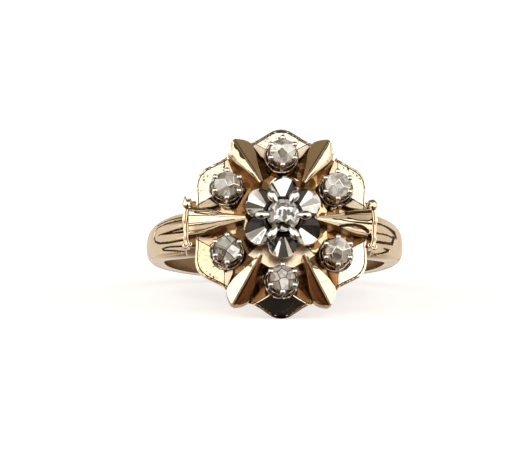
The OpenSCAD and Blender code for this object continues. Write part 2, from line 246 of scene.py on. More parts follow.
def gold(name, colour, rough, marks, recess_shade=(0.22, 0.115, 0.045), waves=0.12, folds=0):
    """Worked gold: its colour and gloss drift a little, its corners and hollows are darkened with painted shade,
    and rubbing marks and soft waves catch the light. With folds, it is broken into small facets, some darkened as
    painted shade and some lightened as painted highlights."""
    made = Finish(bpy.data.materials.new(name))
    place = made.node("TexCoord", {}, {}, "Object")
    drift = made.node("TexNoise", {}, {"Vector": place, "Scale": 420.0, "Detail": 3.0})
    rub = made.node("TexNoise", {}, {"Vector": place, "Scale": 5200.0, "Detail": 2.0})
    deep = tuple(channel * share for channel, share in zip(colour, (0.93, 0.88, 0.82)))
    tint = made.mix(made.step(drift, 0.42, 0.66), colour, deep)
    if folds:
        facets = made.node("TexVoronoi", {"distance": "MANHATTAN"}, {"Vector": place, "Scale": folds}, "Color")
        lit = made.node("SeparateColor", {}, [facets], "Red")
        # Painted shade and painted highlights: some cells are darkened to a third of the colour, a few lightened to
        # pale gold.
        folds_shade = tuple(0.35 * channel for channel in colour)
        tint = made.mix(made.step(lit, 0.36, 0.54), folds_shade, tint)
        tint = made.mix(made.step(lit, 0.80, 0.84), tint, (0.86, 0.66, 0.40))
    # Painted shade: where ambient occlusion finds corners and hollows, the colour darkens to the given shade
    # colour.
    open_to_light = made.node("AmbientOcclusion", {"samples": 6}, {"Distance": 0.0012}, "AO")
    tint = made.mix(made.step(open_to_light, 0.05, 0.55), recess_shade, tint)
    bump = made.node("Bump", {}, {"Strength": marks, "Distance": 0.00002, "Height": rub})
    swell = made.node("TexNoise", {}, {"Vector": place, "Scale": 1500.0, "Detail": 1.5, "Distortion": 0.4})
    bump = made.node("Bump", {}, {"Strength": waves, "Distance": 0.00012, "Height": swell, "Normal": bump})
    gloss = rough + 0.10 * made.step(drift, 0.45, 0.75) * rub
    skin = made.node("BsdfPrincipled", {}, {
        "Base Color": tint, "Metallic": 1.0, "Roughness": gloss, "Normal": bump})
    made.node("OutputMaterial", {}, {"Surface": skin})
    return made.owner


def band_section(p):
    """From a circle to the band's section: flat inside, domed outside, and a little squared at its edges."""
    far = finger_r + (dome(p.y) if p.x > 0 else 0.02 * abs(p.y) ** 6)
    return Vector((far, max(-1, min(1, p.y * 1.03)), 0)) - wall_middle


def forged(p):
    """From a band of even size to the forged one, with a bed for the shoulders' relief."""
    p = p + wall_middle
    far = math.hypot(p.x, p.z)
    rise = math.degrees(math.asin(max(-1, min(1, p.z / far))))
    under_relief = far > finger_r + 0.4 and 13 < rise < 47 and abs(p.y) < 0.85
    now = finger_r + (far - finger_r) * band_wall(rise) - (relief_bed if under_relief else 0)
    return Vector((p.x * now / far, p.y * band_half(rise), p.z * now / far)) - wall_middle


hoop = open_new(bpy.ops.mesh.primitive_circle_add, vertices=28, radius=1, location=wall_middle)
shape(band_section)
bpy.ops.mesh.spin(steps=120, angle=math.tau, center=(0, 0, 0), axis=(0, 1, 0))
bpy.ops.mesh.select_all(action="SELECT")
bpy.ops.mesh.remove_doubles(threshold=0.001)
shape(forged)
close(hoop, smooth=40)
# Painted shade: the faces that look into the finger hole take a dark brown gold.
for face in hoop.data.polygons:
    place = face.center + wall_middle
    outwards = Vector((place.x, 0, place.z)).normalized()
    face.material_index = int(face.normal.dot(outwards) < -0.5)
satin_gold = gold("satin_gold", (0.96, 0.77, 0.54), 0.18, 0.25)
shaded_inside = gold("shaded_inside", (0.30, 0.19, 0.10), 0.24, 0.3)
set_in_ring(finish_in(hoop, satin_gold, shaded_inside), "hoop", "yellow_gold", "gold_mount")


# ---- Engraved shoulders
# Each shoulder is worked with a graver: a U-shaped cut stands round a smooth tongue, finer cuts run together on it,
# and a slim leaf lies beside it. The cuts are painted dark as shade, the gold between them is polished. They were
# cut by hand, so the two sides differ.
per_degree = 0.1745
cut_shows = 0.35
left_side = Matrix.Diagonal((-1, 1, 1, 1))


def copy_turned(piece, turns):
    """Copies of a piece under the given matrices, each with its own mesh; the first model is removed."""
    made = []
    for turn in turns:
        copy = piece.copy()
        copy.data = piece.data.copy()
        bpy.context.scene.collection.objects.link(copy)
        copy.data.transform(turn)
        if turn.determinant() < 0:
            copy.data.flip_normals()
        made.append(copy)
    bpy.data.objects.remove(piece)
    return made


def join(pieces):
    bpy.ops.object.select_all(action="DESELECT")
    for piece in pieces:
        piece.select_set(True)
    bpy.context.view_layer.objects.active = pieces[0]
    bpy.ops.object.join()
    return bpy.context.active_object


def on_hoop(rise, far, y):
    return Vector((far * math.cos(math.radians(rise)), y, far * math.sin(math.radians(rise))))


def cut_depth(cuts, a, b):
    """1 in the middle of a cut and 0 beside it; a cut is its points, and its width at both ends, in mm."""
    deepest = 0
    for points, wide_from, wide_to in cuts:
        count = len(points) - 1
        for k, ((a0, b0), (a1, b1)) in enumerate(zip(points, points[1:])):
            run, rise = a1 - a0, b1 - b0
            t = ((a - a0) * run + (b - b0) * rise) / (run * run + rise * rise)
            t = min(1, max(0, t))
            away = math.hypot(a - a0 - t * run, b - b0 - t * rise)
            wide = wide_from + (wide_to - wide_from) * (k + t) / count
            deepest = max(deepest, 1 - away / wide)
    return max(0, deepest)


left_shoulder = [
    ([(46, 1.02), (33, 0.98), (27, 0.88), (23.8, 0.6), (23, 0.2)], 0.07, 0.16),
    ([(23, 0.2), (24.6, -0.19), (28.5, -0.41), (36, -0.52), (46, -0.52)], 0.16, 0.08),
    ([(28, 0.21), (36, 0.27), (46, 0.36)], 0.04, 0.12),
    ([(32, 0.17), (46, 0.06)], 0.04, 0.12),
    ([(24.2, 1.04), (33, 1.24), (46, 1.30)], 0.05, 0.08),
    ([(47, -1.02), (36.3, -0.85), (31.5, -0.84), (29.5, -0.9), (31.2, -1.0), (39.7, -1.22), (47, -1.5)],
     0.07, 0.07),
]
right_shoulder = [
    ([(47, 1.0), (42.3, 0.93), (37.8, 0.88), (34.2, 0.78), (30.6, 0.63), (28, 0.51), (26.2, 0.25)], 0.09, 0.27),
    ([(26.2, 0.25), (28, 0.18), (31.7, 0.10), (34.9, 0.16), (38.4, 0.16), (47, 0.09)], 0.14, 0.05),
    ([(29.6, 0.07), (30.3, -0.31)], 0.34, 0.30),
    ([(29.4, -0.30), (32.4, -0.41), (38.4, -0.47), (47, -0.53)], 0.19, 0.11),
    ([(37, -0.87), (32.4, -0.92)], 0.06, 0.14),
    ([(32.4, -0.95), (38.5, -1.30), (47, -1.6)], 0.12, 0.06),
]


def inside_tongue(rise, y):
    return ease(rise, 23.4, 26, 0, 1) * ease(y, -0.56, -0.36, 0, 1) * ease(y, 0.84, 1.04, 1, 0)


def engraved_shoulder(graved):
    """One shoulder's relief, from its table of cuts: each cut's points, in degrees up the hoop and in mm across
    it, and the cut's width at both ends."""
    cuts = [([(rise * per_degree, y) for rise, y in points], *widths) for points, *widths in graved]

    def on_band(p):
        rise = 12 + (p.x + 1) / 2 * 36
        y = p.y * (band_half(rise) - 0.14)
        return rise, y, cut_depth(cuts, rise * per_degree, y)

    def relief(p):
        rise, y, cut = on_band(p)
        face = finger_r + band_wall(rise) * dome(y / band_half(rise))
        proud = ease(min(p.x + 1, 1 - abs(p.y)), 0, 0.12, -0.04, 0.03)
        fluted = (0.07 + 0.03 * math.cos(y * 9.0)) * inside_tongue(rise, y)
        return on_hoop(rise, face + proud + fluted - 0.13 * cut, y)

    shoulder = open_new(bpy.ops.mesh.primitive_grid_add, x_subdivisions=150, y_subdivisions=76, size=2)
    mesh = bmesh.from_edit_mesh(shoulder.data)
    for face in mesh.faces:
        face.material_index = int(on_band(face.calc_center_median())[2] > cut_shows)
    bmesh.update_edit_mesh(shoulder.data)
    shape(relief)
    close(shoulder, smooth=50)
    return finish_in(shoulder, satin_gold, cut_line_shade)


# Painted shade: near-black gold for the engraved cuts, the lines on the petals, the dark beside the rays' ribs, the
# trumpets' cuts and edges, and the collars' grooves and inner sides; the petals' dark spots take it too.
cut_line_shade = gold("cut_line_shade", (0.07, 0.04, 0.02), 0.3, 0.3)
shoulders = copy_turned(engraved_shoulder(left_shoulder), [left_side])
shoulders.append(engraved_shoulder(right_shoulder))
set_in_ring(join(shoulders), "shoulder_relief", "yellow_gold", "gold_mount")


# ---- Under-gallery
# The plain body under the flower: a floor for the wells between petals and rays, a short hollow collar on the
# bridge, a neck over each shoulder, and the cone that carries the centre flower. Turned and filed from gold; its
# top, the floor of the wells, is painted dark brown as shade, broken into painted shade and highlights, and it is
# left satin underneath. The necks are painted darker as shade on their sides away from the shoulders, and the
# cone's facets are painted light towards the lower petal and dark elsewhere.
def about_z(angle):
    return Matrix.Rotation(math.radians(angle), 4, "Z")


def turn(profile, sides):
    """A turned body: a circle is extruded from height to height and scaled to each radius."""
    (radius, height), *rest = profile
    made = open_new(
        bpy.ops.mesh.primitive_circle_add, vertices=sides, radius=radius, location=(0, 0, height), fill_type="NGON"
    )
    bpy.ops.mesh.select_mode(type="FACE")
    for wider, higher in rest:
        bpy.ops.mesh.extrude_region_move(TRANSFORM_OT_translate={"value": (0, 0, higher - height)})
        bpy.ops.transform.resize(value=(wider / radius, wider / radius, 1), center_override=(0, 0, higher))
        radius, height = wider, higher
    return made


gallery = turn([(2.4, 8.9), (2.4, 10.6), (6.2, 10.5), (6.3, 10.8), (3.2, 11.9), (2.0, 11.95)], 30)
close(gallery, bevel=0.03, smooth=8)
# Painted shade: the faces looking up, the floor of the wells, take the dark gold of the wells.
for face in gallery.data.polygons:
    face.material_index = int(face.normal.z < 0.1)
neck = open_new(bpy.ops.mesh.primitive_cube_add, size=1, location=(0, 0, 0), scale=(1.1, 3.1, 4.6))
for height in (-1.2, 0, 1.2):
    bpy.ops.mesh.select_all(action="SELECT")
    bpy.ops.mesh.bisect(plane_co=(0, 0, height), plane_no=(0, 0, 1))
shape(lambda p: Vector((
    p.x + (0.25 if p.x < 0 else 0.05) * math.cos(p.z * 1.6), p.y * (1 - 0.18 * math.cos(p.z * 1.7)), p.z)))
shape(lambda p: p + Vector((6.45, 0, 8.9)))
close(neck, bevel=0.2, smooth=50, levels=1)
# Painted shade: the neck's faces that do not look towards the shoulder take the darker amber gold.
for face in neck.data.polygons:
    face.material_index = int(face.normal.x > 0.35)
# Painted shade: a dark brown gold for the wells, the folds behind the petals, the cups' insides and some cone
# facets.
well_shade_gold = gold("well_shade_gold", (0.30, 0.16, 0.065), 0.16, 0.2, waves=0.35, folds=1500.0)
under_gold = gold("under_gold", (0.90, 0.71, 0.48), 0.45, 0.2)
# Painted shade: a darker, redder copy of the gold for the upright walls of rays and trumpets, the necks' shaded
# sides and the lower petals' folds.
amber_shade_gold = gold("amber_shade_gold", (0.72, 0.43, 0.20), 0.36, 0.2, (0.36, 0.19, 0.08))
necks = copy_turned(finish_in(neck, amber_shade_gold, satin_gold), [Matrix.Identity(4), left_side])
gallery = join([finish_in(gallery, well_shade_gold, under_gold), *necks])
set_in_ring(gallery, "under_gallery", "yellow_gold", "gold_mount")

cone = close(turn([(3.45, 11.1), (3.45, 12.1), (2.0, 12.12), (1.9, 13.28)], 12), smooth=5)
cone.data.transform(about_z(15))
# Painted light and shade: the facets that look towards the lower petal take a light beige gold, the others the dark
# gold of the wells.
for face in cone.data.polygons:
    facing = math.degrees(math.atan2(face.center.y, face.center.x))
    face.material_index = int(not -145 < facing < -35)
cone_lit_gold = gold("cone_lit_gold", (0.82, 0.68, 0.51), 0.22, 0.1, (0.55, 0.38, 0.22))
set_in_ring(finish_in(cone, cone_lit_gold, well_shade_gold), "flower_cone", "yellow_gold", "gold_mount")


# ---- Petals
# Six flat kite-shaped petals of polished yellow gold, each with a soft ogee tip and falling away outwards; behind
# the V of its inner edges the metal folds down into the wells. Sawn from plate and soldered on. Dark lines are
# painted as shade along the fold and near the rim, and dark spots near some of the rims.
petal_reach, petal_half, petal_fall, petal_thick = 7.05, 2.25, math.tan(math.radians(10)), 0.38
rim_slant, rim_line = 0.85, 0.17
open_face, fold, line, plate, underside = range(5)


def petal_top(x):
    return 11.6 + petal_fall * (petal_reach - x)


def along(points, x):
    """The height at x of a line through the points."""
    for (x0, y0), (x1, y1) in zip(points, points[1:]):
        if x <= x1:
            return y0 + (y1 - y0) * (x - x0) / (x1 - x0)
    return points[-1][1]


tip_curve = [
    (0, 7.05), (0.3, 7.01), (0.63, 6.90), (1.1, 6.61), (1.56, 6.30), (2.0, 6.05), (2.25, 5.95)]
fold_curve = [(0, 4.7), (1.05, 5.42), (2.0, 5.97), (2.25, 5.95)]
root_curve = [(0, 3.9), (1.0, 4.6), (1.5, 4.98), (2.25, 5.95)]


def petal_place(p):
    """Where a point of the flat grid comes: along the petal, across it, and how far out the tip is there."""
    y = petal_half * p.y
    root, tip = along(root_curve, abs(y)), along(tip_curve, abs(y))
    return root + (tip - root) * (p.x + 1) / 2, y, tip


def petal_form(p, plate_fall):
    x, y, tip = petal_place(p)
    fold_x = min(along(fold_curve, abs(y)), tip)
    z = petal_top(x)
    if x < fold_x:
        z = petal_top(fold_x) - ease(abs(y), 0.95, 1.2, 1.1, plate_fall) * (fold_x - x)
    from_rim = (tip - x) * rim_slant
    z -= 0.30 * max(0, 0.15 - from_rim) + 0.05 * max(0, 1 - abs(from_rim - rim_line) / 0.035)
    z -= 0.03 * max(0, 1 - abs(x - fold_x - 0.03) / 0.04)
    return Vector((x, y, z))


def sawn_petal(plate_fall, face_gold, fold_gold, plate_gold, dark_spots):
    """One petal; plate_fall is the slope of its two folded plates, and the last argument lists the dark spots
    painted near its rim, each with its place along and across the petal and its size."""
    petal = open_new(bpy.ops.mesh.primitive_grid_add, x_subdivisions=80, y_subdivisions=72, size=2)
    mesh = bmesh.from_edit_mesh(petal.data)
    for face in mesh.faces:
        x, y, tip = petal_place(face.calc_center_median())
        fold_x = along(fold_curve, abs(y))
        # Painted shade: dark lines along the fold and near the rim.
        on_line = -0.045 < x - fold_x < 0.02 or abs((tip - x) * rim_slant - rim_line) < 0.034
        spotted = any(math.hypot(x - dent_x, 0.6 * (y - dent_y)) < size for dent_x, dent_y, size in dark_spots)
        within = open_face if x > fold_x else fold if abs(y) < 1.12 else plate
        face.material_index = line if on_line or spotted else within
    bmesh.update_edit_mesh(petal.data)
    shape(lambda p: petal_form(p, plate_fall))
    bpy.ops.mesh.select_all(action="SELECT")
    bpy.ops.mesh.extrude_region_move(TRANSFORM_OT_translate={"value": (0, 0, -petal_thick)})
    close(petal, smooth=25)
    for face in petal.data.polygons:
        if face.normal.z < -0.3:
            face.material_index = underside
    return finish_in(petal, face_gold, fold_gold, cut_line_shade, plate_gold, under_gold)


polished_gold = gold("polished_gold", (0.95, 0.82, 0.62), 0.09, 0.10)
# Painted light and shade: lighter and darker copies of the petal gold, lighter for most petals, warmer and darker
# for one, and a darker tan for the upper petal's plates.
lit_petal_gold = gold("lit_petal_gold", (0.96, 0.86, 0.70), 0.10, 0.10, waves=0.7)
shaded_petal_gold = gold("shaded_petal_gold", (0.93, 0.75, 0.49), 0.12, 0.10, waves=0.6)
pale_gold = gold("pale_gold", (0.95, 0.80, 0.60), 0.36, 0.2)
shaded_tan_plate = gold("shaded_tan_plate", (0.76, 0.66, 0.52), 0.40, 0.2)
petal_spots = {
    90: ((6.42, 0.05, 0.05), (6.36, 0.16, 0.07), (6.40, -0.16, 0.06), (6.33, -0.30, 0.05), (6.36, 0.36, 0.04)),
    30: ((6.62, 0.33, 0.06), (6.50, 0.62, 0.05), (6.30, 1.05, 0.07), (6.05, 1.30, 0.05), (6.72, 0.02, 0.05)),
    150: (
        (5.72, -1.50, 0.07), (5.62, -1.24, 0.05), (5.84, -1.72, 0.06), (5.40, -1.40, 0.05), (6.50, 0.10, 0.06),
        (6.42, -0.30, 0.05), (6.62, -0.12, 0.04)),
    210: ((6.42, 0.72, 0.05), (6.30, 1.02, 0.06), (6.12, 1.22, 0.04), (6.55, 0.40, 0.03)),
    330: (),
    270: (),
}
petals = []
for angle, dark_spots in petal_spots.items():
    face_gold = {210: shaded_petal_gold, 270: polished_gold}.get(angle, lit_petal_gold)
    if angle in (270, 330):
        petal = sawn_petal(0.30, face_gold, amber_shade_gold, amber_shade_gold, dark_spots)
    else:
        petal = sawn_petal(0.06, face_gold, well_shade_gold, shaded_tan_plate if angle == 90 else pale_gold, dark_spots)
    petals += copy_turned(petal, [about_z(angle)])
set_in_ring(join(petals), "petals", "yellow_gold", "gold_mount")


# ---- Folded rays
# Between the petals stand four rays of yellow gold, folded like a roof: two flat sides, a narrow rib along the
# crest, which rises towards the middle, and a pointed hip at the outer end. Painted shade lies dark beside the rib,
# one side of each ray is painted darker as shade, and its upright walls too.
ray_root, ray_length, rib_share = 3.1, 3.95, 0.1
well_floor, upright = 10.7, 0.25
rim_side, rib_shade, low_side, high_side, ray_wall = range(5)
ray_plan = [
    (3.1, 0.16), (3.6, 0.28), (4.4, 0.52), (5.4, 0.90), (6.1, 1.0), (6.4, 0.92), (6.7, 0.66), (6.9, 0.40),
    (7.05, 0.16)]


def crest_z(s):
    return 12.35 + 0.42 * (6.85 - s)


def on_floor(p, below):
    """Sends what was extruded down, and so lies below a height, to the floor of the wells."""
    return Vector((p.x, p.y, well_floor)) if p.z < below else p


def ray_place(p):
    """Where a point of the flat grid comes: along the ray, across it, and the ray's half width there."""
    s = ray_root + ray_length * (1 - ((1 - p.x) / 2) ** 1.3)
    half = along(ray_plan, s)
    side, rib, across = half * (1 if p.y > 0 else 0.86), min(0.10, 0.5 * half), abs(p.y)
    if across < rib_share:
        y = rib * across / rib_share
    else:
        y = rib + (side - rib) * (across - rib_share) / (1 - rib_share)
    return s, math.copysign(y, p.y), half


def folded(p):
    s, y, half = ray_place(p)
    off = max(0, abs(y) - 0.05)
    if y > 0:
        fall = 0.50 * off
    else:
        inner = min(off, 0.56 * half)
        fall = 0.16 * inner + 0.55 * inner ** 2 / max(0.2, half - 0.17) + 0.12 * (off - inner)
    rib = 0.04 if abs(p.y) < 0.06 else 0
    return Vector((s, y, crest_z(s) + rib - fall))


def folded_ray(streak, streak_from, low_finish, high_finish):
    """One ray; streak is how far the painted shade beside its rib reaches, the finishes are those of its two sides.
    """
    ray = open_new(bpy.ops.mesh.primitive_grid_add, x_subdivisions=44, y_subdivisions=80, size=2)
    mesh = bmesh.from_edit_mesh(ray.data)
    for face in mesh.faces:
        place = face.calc_center_median()
        s = ray_place(place)[0]
        beside_rib = 0.055 < abs(place.y) < rib_share and s > 4.0
        streak_edge = -rib_share - streak * (0.8 + 0.35 * math.sin(7 * s))
        in_streak = streak_from < s < 6.75 and streak_edge < place.y < -rib_share
        side = low_side if -0.93 < place.y < -rib_share else high_side if place.y > rib_share else rim_side
        face.material_index = rib_shade if beside_rib or in_streak else side
    bmesh.update_edit_mesh(ray.data)
    shape(folded)
    bpy.ops.mesh.select_all(action="SELECT")
    bpy.ops.mesh.extrude_region_move(TRANSFORM_OT_translate={"value": (0, 0, -4)})
    shape(lambda p: on_floor(p, 11.1))
    close(ray, bevel=0.02, smooth=22)
    # Painted shade: the upright walls take the amber gold.
    for face in ray.data.polygons:
        if abs(face.normal.z) < upright:
            face.material_index = ray_wall
    return finish_in(ray, polished_gold, cut_line_shade, low_finish, high_finish, amber_shade_gold)


other_hand = Matrix.Diagonal((1, -1, 1, 1))
# Painted shade: darker copies of the gold for the side of each ray that lies in shade.
red_shade_gold = gold("red_shade_gold", (0.74, 0.37, 0.17), 0.27, 0.12)
shaded_gold = gold("shaded_gold", (0.90, 0.68, 0.41), 0.38, 0.12)
rays = copy_turned(folded_ray(0.05, 4.3, polished_gold, shaded_gold), [about_z(60)])
rays += copy_turned(folded_ray(0.22, 5.3, polished_gold, shaded_gold), [about_z(120) @ other_hand])
rays += copy_turned(folded_ray(0.02, 4.3, red_shade_gold, polished_gold), [about_z(240) @ other_hand, about_z(300)])
set_in_ring(join(rays), "folded_rays", "yellow_gold", "gold_mount")


# ---- Trumpet rays
# The two rays towards the shoulders widen like trumpets: a crest between hollow fluted faces with rolled edges, the
# graver's cuts along them, and a small curl at the lower corner. Each was cut by hand, so the two differ.
trumpet_root, trumpet_length = 2.7, 4.10
bright, engraved, tanned, leafy, shaded, trumpet_wall, white_highlight = range(7)
trumpet_plan = [(2.7, 0.14), (3.2, 0.24), (4.3, 0.48), (5.0, 0.78), (5.6, 0.95), (6.3, 1.04), (6.80, 1.12)]
trumpet_face = [
    (0, 0), (0.06, 0), (0.11, 0.05), (0.50, 0.15), (0.56, 0.22), (0.74, 0.26), (0.80, 0.33), (0.90, 0.27),
    (1.0, 0.42)]


def trumpet_place(p):
    s = trumpet_root + (p.x + 1) / 2 * trumpet_length
    return s, p.y * along(trumpet_plan, s)


def trumpet_ray(cuts, lean, light_zones):
    """One trumpet ray; lean is where its crest runs, across, and the last argument lists the stretches given other
    finishes, rougher gold, painted shade and a painted white highlight: from where along the ray, from where to
    where across it, and the finish."""
    def trumpet_form(p):
        s, y = trumpet_place(p)
        from_crest = (p.y - lean) / (1 - lean) if p.y > lean else (lean - p.y) / (1 + lean)
        fall = along(trumpet_face, from_crest) * along(trumpet_plan, s) / 1.1
        flare = 0.12 * ease(s, 6.2, 6.8, 0, 1) * ease(abs(p.y), 0.2, 0.9, 0, 1)
        return Vector((s, y, crest_z(s) - 0.06 - fall + flare - 0.05 * cut_depth(cuts, s, y)))

    trumpet = open_new(bpy.ops.mesh.primitive_grid_add, x_subdivisions=70, y_subdivisions=110, size=2)
    mesh = bmesh.from_edit_mesh(trumpet.data)
    for face in mesh.faces:
        place = face.calc_center_median()
        s, y = trumpet_place(place)
        in_cut = cut_depth(cuts, s, y) > 0.3 or abs(place.y) > 0.96
        finish = [index for start, low, high, index in light_zones if s > start and low < place.y < high] or [bright]
        face.material_index = engraved if in_cut else finish[0]
    bmesh.update_edit_mesh(trumpet.data)
    shape(trumpet_form)
    bpy.ops.mesh.select_all(action="SELECT")
    bpy.ops.mesh.extrude_region_move(TRANSFORM_OT_translate={"value": (0, 0, -3)})
    shape(lambda p: on_floor(p, 11.2))
    close(trumpet, smooth=28)
    # Painted shade: the upright walls take the amber gold.
    for face in trumpet.data.polygons:
        if abs(face.normal.z) < upright:
            face.material_index = trumpet_wall
    curl = open_new(
        bpy.ops.mesh.primitive_torus_add, location=(0, 0, 0), major_radius=0.17, minor_radius=0.05,
        major_segments=28, minor_segments=12,
    )
    shape(lambda p: p + Vector((6.5, -0.66, crest_z(6.5) - 0.30)))
    close(curl, smooth=60)
    finish_in(trumpet, polished_gold, cut_line_shade, tan_gold, leaf_gold, shade_gold, amber_shade_gold, white_highlight_gold)
    return join([trumpet, finish_in(curl, polished_gold)])


tan_gold = gold("tan_gold", (0.95, 0.77, 0.55), 0.42, 0.3)
leaf_gold = gold("leaf_gold", (0.97, 0.82, 0.60), 0.42, 0.3)
# Painted shade and highlight: a dark copy of the gold for the right trumpet's shaded side, a near-white one for a
# highlight on the left.
shade_gold = gold("shade_gold", (0.43, 0.34, 0.23), 0.28, 0.3)
white_highlight_gold = gold("white_highlight_gold", (0.90, 0.90, 0.91), 0.32, 0.3)
left_cuts = [
    ([(6.8, 0.93), (5.6, 0.80), (4.5, 0.58)], 0.07, 0.05),
    ([(6.35, 0.66), (5.5, 0.48), (4.2, 0.34)], 0.06, 0.04),
    ([(6.8, -0.36), (5.5, -0.26), (3.5, -0.09)], 0.05, 0.03),
    ([(6.5, -0.84), (5.6, -0.66), (4.8, -0.45)], 0.04, 0.03),
    ([(6.8, -1.02), (5.6, -0.87), (4.4, -0.46)], 0.05, 0.04),
]
left_light_zones = [
    (5.5, -0.20, 0.12, bright), (4.1, -0.20, 0.12, white_highlight),
    (2.7, -0.74, -0.32, tanned), (2.7, -0.96, -0.74, leafy),
]
right_cuts = [
    ([(4.87, 0.53), (5.5, 0.68), (6.0, 0.77), (6.8, 0.83)], 0.16, 0.10),
    ([(4.96, 0.22), (5.7, 0.10), (6.5, 0.09), (6.8, 0.26)], 0.06, 0.06),
    ([(3.85, 0.06), (5.7, -0.10), (6.8, -0.12)], 0.05, 0.04),
    ([(4.4, -0.45), (4.96, -0.34), (5.5, -0.30), (6.0, -0.38), (6.38, -0.56), (6.6, -0.82), (6.7, -1.1)],
     0.12, 0.20),
]
right_light_zones = [(2.7, 0.12, 0.72, shaded), (2.7, -0.96, -0.40, leafy)]
right_side = Matrix.Translation((-0.18, 0, 0))
trumpets = copy_turned(trumpet_ray(left_cuts, -0.28, left_light_zones), [left_side])
trumpets += copy_turned(trumpet_ray(right_cuts, 0.05, right_light_zones), [right_side])
set_in_ring(join(trumpets), "trumpet_rays", "yellow_gold", "gold_mount")


# ---- Side collars and buds
# A bowed strip with two rolled edges and a groove between them closes each side of the flower above the
# shoulder; the groove and the strip's inner side are painted dark as shade. A bud is soldered on its upper end, on
# the left with two points, and two small scrolls on its lower end.
collar_x, collar_half, collar_deep, bow = 7.20, 1.72, 2.15, 7.0
groove = (-0.045, 0.005)


def waved(p):
    """Bows a straight strip, and gives it the small waves of hand filing."""
    across = 0.045 * math.sin(3.4 * p.y) + 0.025 * math.sin(9 * p.y) - bow * (1 - math.cos(p.y / bow))
    return Vector((p.x + across, p.y, p.z + 0.04 * math.sin(5 * p.y)))


def side_collar(horned):
    """One collar: two rods side by side with a groove between them, painted dark as shade, on an upright wall."""
    collar = open_new(
        bpy.ops.mesh.primitive_cube_add, size=1, location=(0, 0, 0), scale=(0.40, 2 * collar_half, collar_deep)
    )
    for k in range(-10, 11):
        bpy.ops.mesh.select_all(action="SELECT")
        bpy.ops.mesh.bisect(plane_co=(0, k * 0.16, 0), plane_no=(0, 1, 0))
    for across in (-0.15, groove[0], -0.02, groove[1]):
        bpy.ops.mesh.select_all(action="SELECT")
        bpy.ops.mesh.bisect(plane_co=(across, 0, 0), plane_no=(1, 0, 0))
    mesh = bmesh.from_edit_mesh(collar.data)
    for face in mesh.faces:
        across = face.calc_center_median().x
        # Painted shade: the strip's inner side and the groove's floor take the near-black gold.
        in_groove = groove[0] < across < groove[1] and face.normal.z > 0.5
        face.material_index = int(across < -0.15 or in_groove)
    bmesh.update_edit_mesh(collar.data)
    shape(lambda p: p - Vector((0, 0, 0.10 if p.z > 1 and min(abs(p.x + 0.02), abs(p.x + 0.2)) < 0.01 else 0)))
    shape(waved)
    shape(lambda p: p + Vector((collar_x - 0.19, 0, 10.9)))
    close(collar, bevel=0.03, smooth=40)
    finish_in(collar, satin_gold, cut_line_shade)

    def bud_form(p):
        up = ease(p.y, 0.02, 0.3, 0, 1) if horned else 0
        points = 0.36 * math.exp(-((p.x - 0.19) / 0.10) ** 2) + 0.20 * math.exp(-((p.x + 0.24) / 0.09) ** 2)
        grown = Vector((p.x * 1.05, p.y * 1.2 + up * (points - 0.12), p.z * 0.9))
        return grown + Vector((collar_x - 0.32, 1.36, 11.85))

    bud = open_new(
        bpy.ops.mesh.primitive_uv_sphere_add, location=(0, 0, 0), radius=0.36, segments=40, ring_count=28)
    shape(bud_form)
    ends = [close(bud, smooth=60)]
    for across, down, size in ((0.20, 1.72, 0.17), (0.50, 1.62, 0.14)):
        scroll = open_new(
            bpy.ops.mesh.primitive_torus_add, location=(0, 0, 0), major_radius=size, minor_radius=0.075,
            major_segments=32, minor_segments=16,
        )
        close(scroll, smooth=60)
        scroll.data.transform(Matrix.Translation((collar_x - across, -down, 11.8)))
        ends.append(scroll)
    return join([collar, *(finish_in(end, polished_gold) for end in ends)])


collars = copy_turned(side_collar(True), [left_side]) + copy_turned(side_collar(False), [right_side])
set_in_ring(join(collars), "side_collars", "yellow_gold", "gold_mount")


# ---- Small claw cups
# Six small cups of yellow gold, pierced with arches between their claws and painted dark inside as shade; the
# claws and their beads are of white metal, turned over the edges of the rose-cut stones, and two scalloped rings,
# broken into painted shade and highlights, tie them together. Each cup is soldered on a petal, a little off its
# even place.
cup_circle, cup_h = 4.63, 1.95
cup_z = petal_top(cup_circle)
pierced, outer = 0, 2
cup_seats = {
    1: (90, 0, 4.88), 2: (30, 4.01, 2.42), 3: (330, 4.01, -2.42),
    4: (270, 0, -4.46), 5: (210, -4.01, -2.33), 6: (150, -4.04, 2.42),
}
cup = turn([
    (1.03, 0.0), (1.03, 0.5), (0.97, 1.2), (0.95, cup_h - 0.03), (0.72, cup_h - 0.03), (0.66, 1.1), (0.66, 0.3),
], 60)
close(cup, smooth=30)
arches = []
for k in range(6):
    for size, lift in ((0.30, 1.32), (0.36, 0.52)):
        arch = open_new(
            bpy.ops.mesh.primitive_cylinder_add, vertices=28, radius=size, depth=1.4, location=(0, 0, 0))
        close(arch)
        arch.data.transform(
            about_z(30 + 60 * k) @ Matrix.Translation((1.35, 0, lift)) @ Matrix.Rotation(math.pi / 2, 4, "Y"))
        arches.append(arch)
arches = join(arches)
bpy.ops.object.select_all(action="DESELECT")
cup.select_set(True)
bpy.context.view_layer.objects.active = cup
piercing = cup.modifiers.new("piercing", "BOOLEAN")
piercing.object, piercing.operation, piercing.solver = arches, "DIFFERENCE", "EXACT"
bpy.ops.object.modifier_apply(modifier="piercing")
bpy.data.objects.remove(arches)
white_gold = gold("white_gold", (0.87, 0.86, 0.84), 0.07, 0.12, (0.22, 0.20, 0.18))
# Painted shade and highlights: the scalloped rings are broken into dark and bright cells.
scallop_sheen_shade = gold(
    "scallop_sheen_shade", (0.80, 0.77, 0.72), 0.18, 0.2, (0.14, 0.09, 0.05), waves=0.5, folds=3200.0)
finish_in(cup, well_shade_gold, white_gold, satin_gold)
